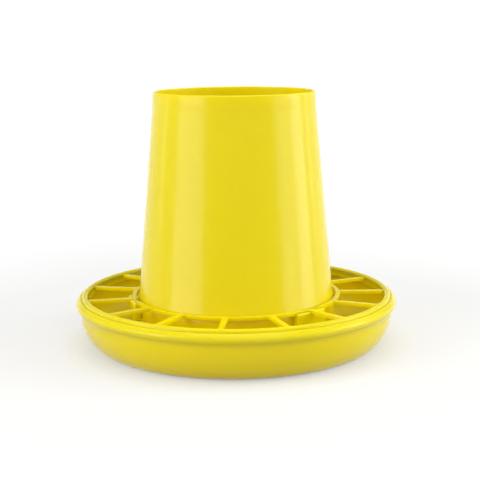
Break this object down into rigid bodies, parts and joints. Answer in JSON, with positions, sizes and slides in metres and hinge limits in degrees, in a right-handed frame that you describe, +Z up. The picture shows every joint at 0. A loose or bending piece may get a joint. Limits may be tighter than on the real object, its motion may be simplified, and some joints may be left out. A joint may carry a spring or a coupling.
{
  "type": "poultry feeder",
  "caption": "Poultry feeder: an open tapered hopper locked into a spoked grille that snaps into the bulged rim of a round feed pan.",
  "frame": {"origin": "centre of the pan's base, on the surface it stands on", "axes": "+Z up along the feeder's axis; the pictured side faces -Y"},
  "size_m": [0.3, 0.3, 0.236],
  "materials": {
    "pan_plastic": "glossy moulded yellow plastic",
    "grille_plastic": "glossy moulded yellow plastic",
    "hopper_plastic": "glossy moulded yellow plastic, slightly translucent"
  },
  "bodies": {
    "root": {"feed_pan": "pan_plastic", "feed_grille": "grille_plastic", "hopper": "hopper_plastic"}
  },
  "joints": []
}
